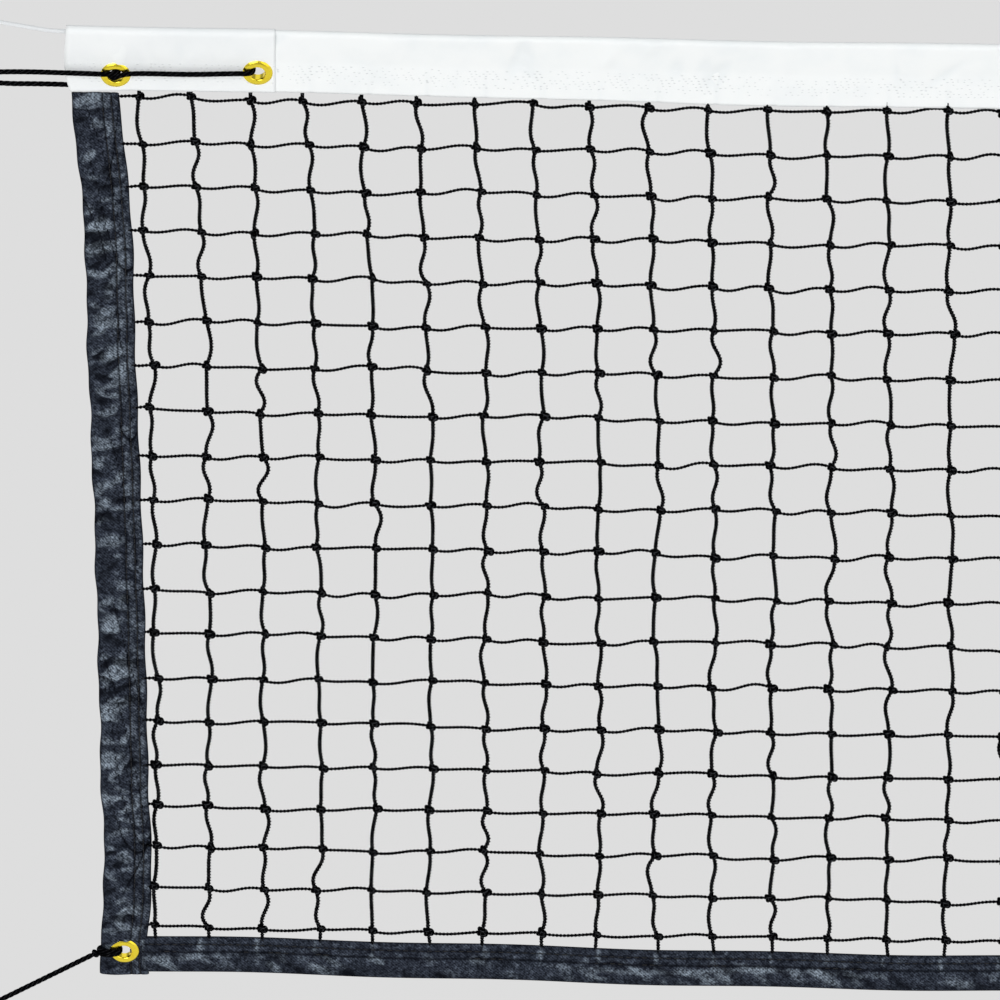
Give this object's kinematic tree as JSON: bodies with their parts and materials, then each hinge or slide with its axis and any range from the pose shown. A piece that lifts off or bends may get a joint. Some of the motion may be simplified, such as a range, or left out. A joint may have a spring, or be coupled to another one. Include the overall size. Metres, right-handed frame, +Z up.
{
  "type": "tennis net",
  "caption": "Full-width court net of knotted black twine with a white vinyl headband on a steel cable, dark hemmed sides and foot, brass eyelets and tie cords.",
  "frame": {"origin": "centre of the left cable eye, which holds the net up", "axes": "+X along the net from the left eye to the right eye, +Y from the front to the back of the net, +Z up"},
  "size_m": [13.0568, 0.0168, 0.9991],
  "materials": {
    "wire_rope": "seven-strand wire rope, dull bright",
    "cable_vinyl": "thin clear-white vinyl jacket",
    "ferrule_metal": "pressed oval sleeve, satin",
    "thimble_steel": "zinc plated",
    "headband_vinyl": "white vinyl coated polyester, soft gloss",
    "patch_vinyl": "second layer of the white vinyl, smoother",
    "hem_cloth": "black-navy satin faced woven tape",
    "netting_twine": "black braided polyethylene twine",
    "eyelet_brass": "polished rolled brass",
    "black_cord": "black braided polyester cord"
  },
  "bodies": {
    "cable": {"headband_cable": "wire_rope", "cable_jacket": "cable_vinyl", "cable_ferrule_left": "ferrule_metal", "cable_ferrule_right": "ferrule_metal", "cable_thimble_left": "thimble_steel", "cable_thimble_right": "thimble_steel"},
    "headband": {"headband": "headband_vinyl", "headband_end_patch_left": "patch_vinyl", "headband_end_patch_right": "patch_vinyl", "eyelet_top_outer_left": "eyelet_brass", "eyelet_top_outer_right": "eyelet_brass", "washer_top_outer_left": "eyelet_brass", "washer_top_outer_right": "eyelet_brass", "eyelet_top_inner_left": "eyelet_brass", "eyelet_top_inner_right": "eyelet_brass", "washer_top_inner_left": "eyelet_brass", "washer_top_inner_right": "eyelet_brass", "lacing_cord_left": "black_cord", "lacing_cord_right": "black_cord", "lacing_knot_left": "black_cord", "lacing_knot_right": "black_cord"},
    "curtain": {"bottom_tape": "hem_cloth", "netting_level_cords": "netting_twine", "netting_upright_cords": "netting_twine", "side_tape_left": "hem_cloth", "side_tape_right": "hem_cloth", "eyelet_bottom_left": "eyelet_brass", "eyelet_bottom_right": "eyelet_brass", "washer_bottom_left": "eyelet_brass", "washer_bottom_right": "eyelet_brass", "bottom_tie_turns_left": "black_cord", "bottom_tie_turns_right": "black_cord", "bottom_tie_hitch_left": "black_cord", "bottom_tie_hitch_right": "black_cord"},
    "left_tie": {"bottom_tie_cord_left": "black_cord", "bottom_tie_knot_left": "black_cord"},
    "right_tie": {"bottom_tie_cord_right": "black_cord", "bottom_tie_knot_right": "black_cord"}
  },
  "joints": [
    {"name": "headband_slide", "type": "slide", "parent": "cable", "child": "headband", "axis": [1, 0, 0], "range_m": [-0.01, 0.01]},
    {"name": "net_swing", "type": "hinge", "parent": "headband", "child": "curtain", "pos_m": [6.515, 0, -0.0801], "axis": [1, 0, 0], "range_deg": [-40, 40]},
    {"name": "left_tie_swing", "type": "hinge", "parent": "curtain", "child": "left_tie", "pos_m": [0.1315, -0.0025, -0.9217], "axis": [0, 1, 0], "range_deg": [-57, 60]},
    {"name": "right_tie_swing", "type": "hinge", "parent": "curtain", "child": "right_tie", "pos_m": [12.8985, -0.0025, -0.9217], "axis": [0, 1, 0], "range_deg": [-60, 57]}
  ]
}
